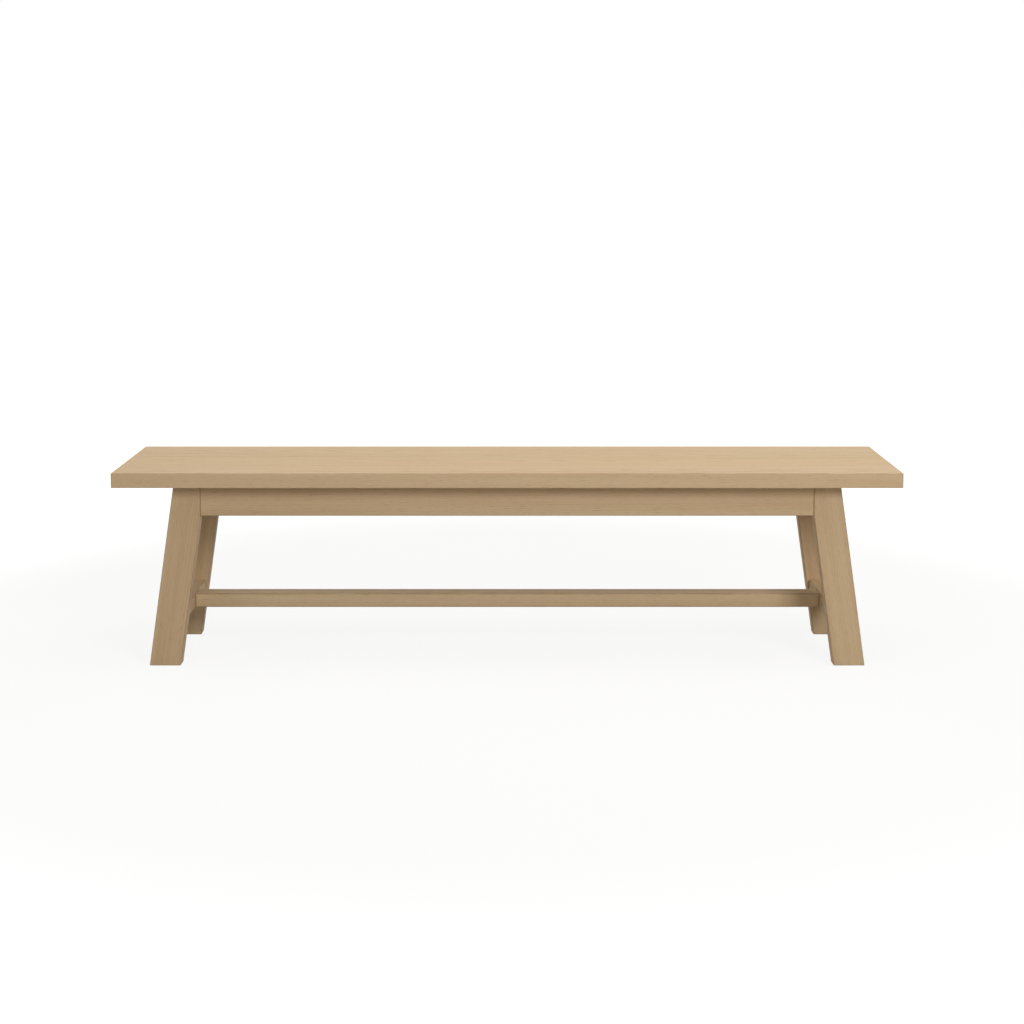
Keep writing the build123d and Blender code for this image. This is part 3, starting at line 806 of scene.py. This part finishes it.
def zinc_plated(name):
    """Bright zinc plating on cold-formed steel: bluish grey metal, slightly cloudy, fairly sharp."""
    material = bpy.data.materials.new(name)
    material.use_nodes = True
    tree = material.node_tree
    surface = tree.nodes["Principled BSDF"]
    place = add_node(tree, "ShaderNodeTexCoord").outputs["Object"]
    # The plating clouds over in patches of some 3 mm
    cloud = add_node(
        tree, "ShaderNodeTexNoise", {"Scale": 1 / (3 * MM), "Detail": 3}, {"Vector": place},
    ).outputs["Fac"]
    tint = add_node(
        tree, "ShaderNodeMix", {6: linear("#c9cdd0"), 7: linear("#a9adae")}, {0: cloud}, data_type="RGBA",
    ).outputs[2]
    tree.links.new(tint, surface.inputs["Base Color"])
    dulled = add_node(
        tree, "ShaderNodeMapRange", {"To Min": 0.25, "To Max": 0.45}, {"Value": cloud},
    ).outputs["Result"]
    tree.links.new(dulled, surface.inputs["Roughness"])
    relief = add_node(
        tree, "ShaderNodeBump", {"Strength": 0.3, "Distance": 0.02 * MM}, {"Height": cloud},
    ).outputs["Normal"]
    tree.links.new(relief, surface.inputs["Normal"])
    surface.inputs["Metallic"].default_value = 1
    return material


def turned(name, outline, sides=24):
    """A round piece about the upright axis, drawn out through heights and widths in millimetres."""
    height, width = outline[0]
    bpy.ops.object.select_all(action="DESELECT")
    bpy.ops.mesh.primitive_circle_add(
        vertices=sides, radius=width / 2 * MM, fill_type="NGON", location=(0, 0, height * MM),
    )
    bpy.ops.object.transform_apply(location=True, rotation=True, scale=True)
    piece = bpy.context.object
    piece.name = piece.data.name = name
    bpy.ops.object.mode_set(mode="EDIT")
    bpy.ops.mesh.select_mode(type="FACE")
    bpy.ops.mesh.select_all(action="SELECT")
    for next_height, next_width in outline[1:]:
        rise = (next_height - height) * MM
        bpy.ops.mesh.extrude_region_move(TRANSFORM_OT_translate={"value": (0, 0, rise)})
        share = next_width / width
        bpy.ops.transform.resize(value=(share, share, 1), center_override=(0, 0, next_height * MM))
        height, width = next_height, next_width
    bpy.ops.mesh.select_all(action="SELECT")
    bpy.ops.mesh.normals_make_consistent(inside=False)
    bpy.ops.object.mode_set(mode="OBJECT")
    return piece


# Each fixing stops this much of a turn, in radians, past the one before, so that no two look alike
STOP_STEP = 2.4


def driven(places):
    """Turns the way that each fixing goes in into a turn of its pattern."""
    turns = []
    for number, (point, way) in enumerate(places):
        stop_at = Quaternion((0, 0, 1), STOP_STEP * number)
        turns.append((point, Vector(way).to_track_quat("Z", "Y") @ stop_at))
    return turns


zinc = zinc_plated("zinc-plated steel of the fixings")


def drive_in(pattern, name, node, places):
    """Drives a zinc-plated fixing in at each of its places, as one piece."""
    fit_up(set_out(pattern, name, driven(places)), [node], zinc)


# The pattern of a fixing goes in upward from height 0, and what stands out of the wood is below that
HEAD_HEIGHT = 2.6
PAN_HEAD = ((-HEAD_HEIGHT, 4.8), (-2.45, 6.2), (-2.0, 7.4), (-1.3, 8.0), (-0.3, 8.1), (0, 7.8))
SHANK_WIDTH = 4.4
POINT_LENGTH = 6
POINT_WIDTH = 1.4
CROSS_LENGTH = 4.2
CROSS_WIDTH = 1
CROSS_DEPTH = 1.4

button_screw_places = [
    (
        Vector(point) + turn @ Vector((0, BUTTON_SCREW_SETBACK, BUTTON_BOTTOM + BUTTON_SCREW_SINK)),
        (0, 0, 1),
    )
    for point, turn in long_button_places + end_button_places
]
rail_screw_places = [
    (
        (step * RAIL_PITCH, side * (LONG_APRON_INNER - RAIL_SCREW_SETBACK), RAIL_BOTTOM + RAIL_SCREW_SINK),
        (0, 0, 1),
    )
    for step in (-1, 0, 1) for side in (-1, 1)
]

for screws, node, length, places in (
    ("corner_block_wood_screws", "corner_block_screws", 28, block_screw_places),
    ("turn_button_wood_screws", "button_screws", 30, button_screw_places),
    ("rail_wood_screws", "cross_rail_screws", 42, rail_screw_places),
):
    screw = turned("screw", (
        *PAN_HEAD, (0, SHANK_WIDTH), (length - POINT_LENGTH, SHANK_WIDTH), (length, POINT_WIDTH),
    ))
    for x_size, y_size in ((CROSS_LENGTH, CROSS_WIDTH), (CROSS_WIDTH, CROSS_LENGTH)):
        cut_away(
            screw, (-x_size / 2, -y_size / 2, -HEAD_HEIGHT - 1),
            (x_size / 2, y_size / 2, CROSS_DEPTH - HEAD_HEIGHT),
        )
    drive_in(screw, screws, node, places)


# Hanger bolts, with their washers and nuts
# Steel rods with a wood point that is screwed into the leg and a machine thread that stands through
# the corner block. A flat washer and a hexagon nut pull the leg into the corner of the aprons.

HANGER_WIDTH = 8
HANGER_BITE = 30
HANGER_POINT_LENGTH = 8
HANGER_POINT_WIDTH = 3
WASHER_THICKNESS = 1.6
WASHER_SEAT = -BLOCK_GAP - BLOCK_THICKNESS
NUT_SEAT = WASHER_SEAT - WASHER_THICKNESS
NUT_HEIGHT = 6.5
NUT_END = NUT_SEAT - NUT_HEIGHT
HANGER_SPARE = 5
HANGER_END = NUT_END - HANGER_SPARE
HANGER_END_WIDTH = 6.4
# Coarse thread of an 8 mm bolt, drawn as rings because only four turns show
THREAD_TURNS = 4
THREAD_PITCH = 1.25
THREAD_ROOT = 6.9
FIRST_TURN = 0.6
THREAD_HIDDEN_IN_NUT = 0.7

hanger_places = [
    ((end * LEG_JOINT, side * LEG_BACK, FIXING_HEIGHT), (end, side, 0))
    for end in (-1, 1) for side in (-1, 1)
]
thread = []
for ring in range(THREAD_TURNS):
    ring_start = HANGER_END + FIRST_TURN + ring * THREAD_PITCH
    thread += [(ring_start, HANGER_WIDTH), (ring_start + THREAD_PITCH / 2, THREAD_ROOT)]
hanger_bolt = turned("hanger bolt", (
    (HANGER_END, HANGER_END_WIDTH), *thread, (NUT_END + THREAD_HIDDEN_IN_NUT, HANGER_WIDTH),
    (HANGER_BITE - HANGER_POINT_LENGTH, HANGER_WIDTH), (HANGER_BITE, HANGER_POINT_WIDTH),
))
drive_in(hanger_bolt, "leg_hanger_bolts", "hanger_bolts", hanger_places)

# The punch rounds one rim of a washer and only breaks the other
ROUNDED_RIM = 0.3
BROKEN_RIM = 0.15
WASHER_SIDES = 40


def flat_washer(seat, width, hole_width):
    """A washer of stamped steel that lies against its seat, at a height in mm."""
    outside = seat - WASHER_THICKNESS
    washer = turned("washer", (
        (outside, width - 2 * ROUNDED_RIM), (outside + ROUNDED_RIM, width), (seat - BROKEN_RIM, width),
        (seat, width - 2 * BROKEN_RIM),
    ), sides=WASHER_SIDES)
    bore(washer, (0, 0, outside), (0, 0, 1), hole_width, 2 * WASHER_THICKNESS, sides=SMALL_HOLE_SIDES)
    return washer


hanger_washer = flat_washer(WASHER_SEAT, width=20, hole_width=8.3)
drive_in(hanger_washer, "leg_bolt_washers", "bolt_washers", hanger_places)


HEXAGON = 6


def across_corners(flats):
    """How wide a hexagon is over its corners, when it is so wide over its flats."""
    return flats / math.cos(math.pi / HEXAGON)


NUT_WIDTH = across_corners(flats=13)
NUT_FACE = 12.2
NUT_CHAMFER = 0.9
# The corners of a nut are chamfered, so that it is also the inside of a turned disc, which is a little
# wider than the nut and a hair thicker
DISC_WIDTH = 15.4
HAIR = 0.01
hanger_nut = turned("nut", ((NUT_END, NUT_WIDTH), (NUT_SEAT, NUT_WIDTH)), sides=HEXAGON)
turned_disc = turned("disc", (
    (NUT_END - HAIR, NUT_FACE), (NUT_END + NUT_CHAMFER, DISC_WIDTH), (NUT_SEAT - NUT_CHAMFER, DISC_WIDTH),
    (NUT_SEAT + HAIR, NUT_FACE),
), sides=HOLE_SIDES)
work_with(hanger_nut, turned_disc, operation="INTERSECT")
bore(hanger_nut, (0, 0, NUT_END), (0, 0, 1), HANGER_WIDTH, 2 * NUT_HEIGHT, sides=SMALL_HOLE_SIDES)
drive_in(hanger_nut, "leg_bolt_nuts", "bolt_nuts", hanger_places)


# Bolts of the long stretcher
# Socket-headed bolts with a knurled head, on a flat washer at the bottom of the counterbore. Each
# runs through the end stretcher into a barrel nut, put in from below, with a slot to turn it by.

BOLT_SEAT_X = END_STRETCHER_OUTER - COUNTERBORE_DEPTH
BOLT_PAST_NUT = 9
BOLT_LENGTH = BOLT_SEAT_X - BARREL_NUT_X + BOLT_PAST_NUT
BOLT_WIDTH = 6
BOLT_END_CHAMFER = 1
BOLT_END_WIDTH = 4.2
CAP_WIDTH = 10
CAP_HEIGHT = 6
CAP_SEAT = -WASHER_THICKNESS
CAP_TOP = CAP_SEAT - CAP_HEIGHT
CAP_SIDES = 60
SOCKET_WIDTH = across_corners(flats=5)
SOCKET_DEPTH = 3
KNURL_DEPTH = 0.22
KNURL_EDGE = 0.1

bolt_places = [((end * BOLT_SEAT_X, 0, STRETCHER_MIDDLE), (-end, 0, 0)) for end in (-1, 1)]
# The cap's rim is rounded above and a little below
cap = (
    (CAP_TOP, 8.4), (CAP_TOP + 0.25, 9.4), (CAP_TOP + 0.8, CAP_WIDTH),
    (CAP_SEAT - 0.3, CAP_WIDTH), (CAP_SEAT, 9.5),
)
stretcher_bolt = turned("bolt", (
    *cap, (CAP_SEAT, BOLT_WIDTH),
    (BOLT_LENGTH - BOLT_END_CHAMFER, BOLT_WIDTH), (BOLT_LENGTH, BOLT_END_WIDTH),
), sides=CAP_SIDES)
# Every second strip of the cap's side goes in, which leaves thirty ribs for the fingers
take_up(stretcher_bolt)
bpy.ops.object.mode_set(mode="EDIT")
bpy.ops.mesh.select_mode(type="FACE")
bpy.ops.mesh.select_all(action="DESELECT")
edited = bmesh.from_edit_mesh(stretcher_bolt.data)
for strip in edited.faces:
    middle = strip.calc_center_median() / MM
    upright = abs(strip.normal.z) < SAME_PLACE
    strips_round = math.atan2(middle.y, middle.x) * CAP_SIDES / math.tau
    if upright and CAP_TOP < middle.z < CAP_SEAT and round(strips_round - 0.5) % 2 == 0:
        strip.select_set(True)
bmesh.update_edit_mesh(stretcher_bolt.data)
bpy.ops.mesh.inset(thickness=KNURL_EDGE * MM, depth=-KNURL_DEPTH * MM, use_individual=True)
bpy.ops.object.mode_set(mode="OBJECT")
bore(stretcher_bolt, (0, 0, CAP_TOP), (0, 0, 1), SOCKET_WIDTH, SOCKET_DEPTH, sides=HEXAGON)
drive_in(stretcher_bolt, "stretcher_cap_bolts", "stretcher_bolts", bolt_places)

stretcher_washer = flat_washer(0, width=14, hole_width=6.4)
drive_in(stretcher_washer, "stretcher_bolt_washers", "stretcher_washers", bolt_places)

BARREL_NUT_TOP = STRETCHER_BOTTOM + BARREL_BORE_DEPTH
BARREL_NUT_BOTTOM = BARREL_NUT_TOP - BARREL_NUT_LENGTH
BARREL_NUT_WIDTH = 9.8
BARREL_FACE = 9
BARREL_CHAMFER = 0.5
SLOT_WIDTH = 1.6
SLOT_DEPTH = 1.5
barrel_nut = turned("barrel nut", (
    (BARREL_NUT_BOTTOM, BARREL_FACE), (BARREL_NUT_BOTTOM + BARREL_CHAMFER, BARREL_NUT_WIDTH),
    (BARREL_NUT_TOP - BARREL_CHAMFER, BARREL_NUT_WIDTH), (BARREL_NUT_TOP, BARREL_FACE),
))
cut_away(
    barrel_nut, (-SLOT_WIDTH / 2, -BARREL_NUT_WIDTH, BARREL_NUT_BOTTOM - 1),
    (SLOT_WIDTH / 2, BARREL_NUT_WIDTH, BARREL_NUT_BOTTOM + SLOT_DEPTH),
)
barrel_places = [((end * BARREL_NUT_X, 0, 0), Quaternion()) for end in (-1, 1)]
fit_up(set_out(barrel_nut, "stretcher_barrel_nuts", barrel_places), ["barrel_nuts"], zinc)


# Studio
# The bench stands on a pale floor in a plain white surround. Seven softboxes light it from the front,
# from above, from both ends and from behind. The camera stands in front, a little above the seat.


def seen_by_eye(tree):
    """1 where a thing is seen by the camera, straight on, in a mirror or through glass, and else 0."""
    rays = add_node(tree, "ShaderNodeLightPath")
    seen_or_mirrored = add_node(
        tree, "ShaderNodeMath", {}, {0: rays.outputs["Is Camera Ray"], 1: rays.outputs["Is Glossy Ray"]},
        operation="MAXIMUM",
    ).outputs[0]
    return add_node(
        tree, "ShaderNodeMath", {}, {0: seen_or_mirrored, 1: rays.outputs["Is Transmission Ray"]},
        operation="MAXIMUM",
    ).outputs[0]


bpy.ops.object.select_all(action="DESELECT")
bpy.ops.mesh.primitive_plane_add(size=40, location=(0, 0, 0))
floor = bpy.context.object
floor.name = "studio_floor"
floor_paint = bpy.data.materials.new("matt white floor paint")
floor_paint.use_nodes = True
paint_tree = floor_paint.node_tree
paint_tree.nodes.remove(paint_tree.nodes["Principled BSDF"])
# Where it is seen, the floor is mostly its own white, so that only part of a shadow shows on it, and
# further off, in metres from the bench, it is white all over
WHITE_SHARE_NEAR = 0.68
NEAR_FLOOR = 1.3
FAR_FLOOR = 2.8
floor_place = add_node(paint_tree, "ShaderNodeTexCoord").outputs["Object"]
distance = add_node(
    paint_tree, "ShaderNodeVectorMath", {}, {0: floor_place}, operation="LENGTH",
).outputs["Value"]
whiteness = add_node(
    paint_tree, "ShaderNodeMapRange",
    {"From Min": NEAR_FLOOR, "From Max": FAR_FLOOR, "To Min": WHITE_SHARE_NEAR}, {"Value": distance},
    interpolation_type="SMOOTHSTEP",
).outputs["Result"]
white_share = add_node(
    paint_tree, "ShaderNodeMath", {}, {0: seen_by_eye(paint_tree), 1: whiteness}, operation="MULTIPLY",
).outputs[0]
# For light that falls on it, the floor is grey, so that it throws only a little up at the bench
paint = add_node(paint_tree, "ShaderNodeBsdfDiffuse", {"Color": linear("#a3a19d")}).outputs[0]
# The white is stronger than 1 by what the grey share of the floor lacks
own_white = add_node(
    paint_tree, "ShaderNodeEmission", {"Color": (1, 1, 1, 1), "Strength": 1.3},
).outputs[0]
floor_surface = add_node(
    paint_tree, "ShaderNodeMixShader", {}, {0: white_share, 1: paint, 2: own_white},
).outputs[0]
paint_tree.links.new(floor_surface, paint_tree.nodes["Material Output"].inputs["Surface"])
floor.data.materials.append(floor_paint)

# The surround lights the bench faintly, and is seen as plain white
SURROUND_LIGHT = 0.12
surround = bpy.data.worlds.new("white surround")
bpy.context.scene.world = surround
surround.use_nodes = True
surround_tree = surround.node_tree
backdrop = surround_tree.nodes["Background"]
backdrop.inputs["Color"].default_value = (1, 1, 1, 1)
strength = add_node(
    surround_tree, "ShaderNodeMapRange", {"To Min": SURROUND_LIGHT, "To Max": 1},
    {"Value": seen_by_eye(surround_tree)},
).outputs["Result"]
surround_tree.links.new(strength, backdrop.inputs["Strength"])


def softbox(name, place, aim, size, power, mirrored=True):
    """Hangs a soft lamp of a size in metres and a power in watts at a place, and points it at the aim."""
    lamp = bpy.data.lights.new(name, "AREA")
    lamp.shape = "RECTANGLE"
    lamp.size, lamp.size_y = size
    lamp.energy = power
    hung = bpy.data.objects.new(name, lamp)
    hung.location = place
    hung.rotation_euler = (Vector(aim) - Vector(place)).to_track_quat("-Z", "Y").to_euler()
    hung.visible_glossy = mirrored
    bpy.context.scene.collection.objects.link(hung)


softbox("key softbox, front right", (2.47, -4.28, 2.71), (0, 0, 0.3), (1.8, 1.8), 114)
softbox("overhead softbox", (0.2, -0.3, 2.6), (0.1, 0, 0.4), (3.4, 1.8), 33)
softbox("fill softbox, front left", (-3.65, -3.65, 2.18), (0, 0, 0.3), (1.8, 1.8), 19)
softbox("low front softbox", (0.16, -4.43, 1.08), (0, 0, 0.3), (1.6, 1.2), 14.5)
softbox("right end softbox", (3.6, 0.6, 1.7), (0.8, 0, 0.3), (1.6, 1.4), 15, mirrored=False)
softbox("left end softbox", (-3.6, 0.6, 1.7), (-0.8, 0, 0.3), (1.6, 1.4), 14, mirrored=False)
softbox("rear softbox", (-1.6, 4.6, 1.2), (0, 0, 0.3), (2.4, 1.8), 42, mirrored=False)

# The camera looks down by 5 degrees, and its place and lens give the corners of the bench the
# photograph's places
CAMERA_PLACE = (0.01, -4.2799, 1.1512)
CAMERA_TILT = math.radians(85)
camera = bpy.data.cameras.new("camera")
camera.sensor_width = 36
camera.lens = 63.93
camera.shift_x = 0.0005
camera.shift_y = -0.1824
stand = bpy.data.objects.new("camera", camera)
stand.location = CAMERA_PLACE
stand.rotation_euler = (CAMERA_TILT, 0, 0)
bpy.context.scene.collection.objects.link(stand)
bpy.context.scene.camera = stand
bpy.context.scene.view_settings.view_transform = "Standard"
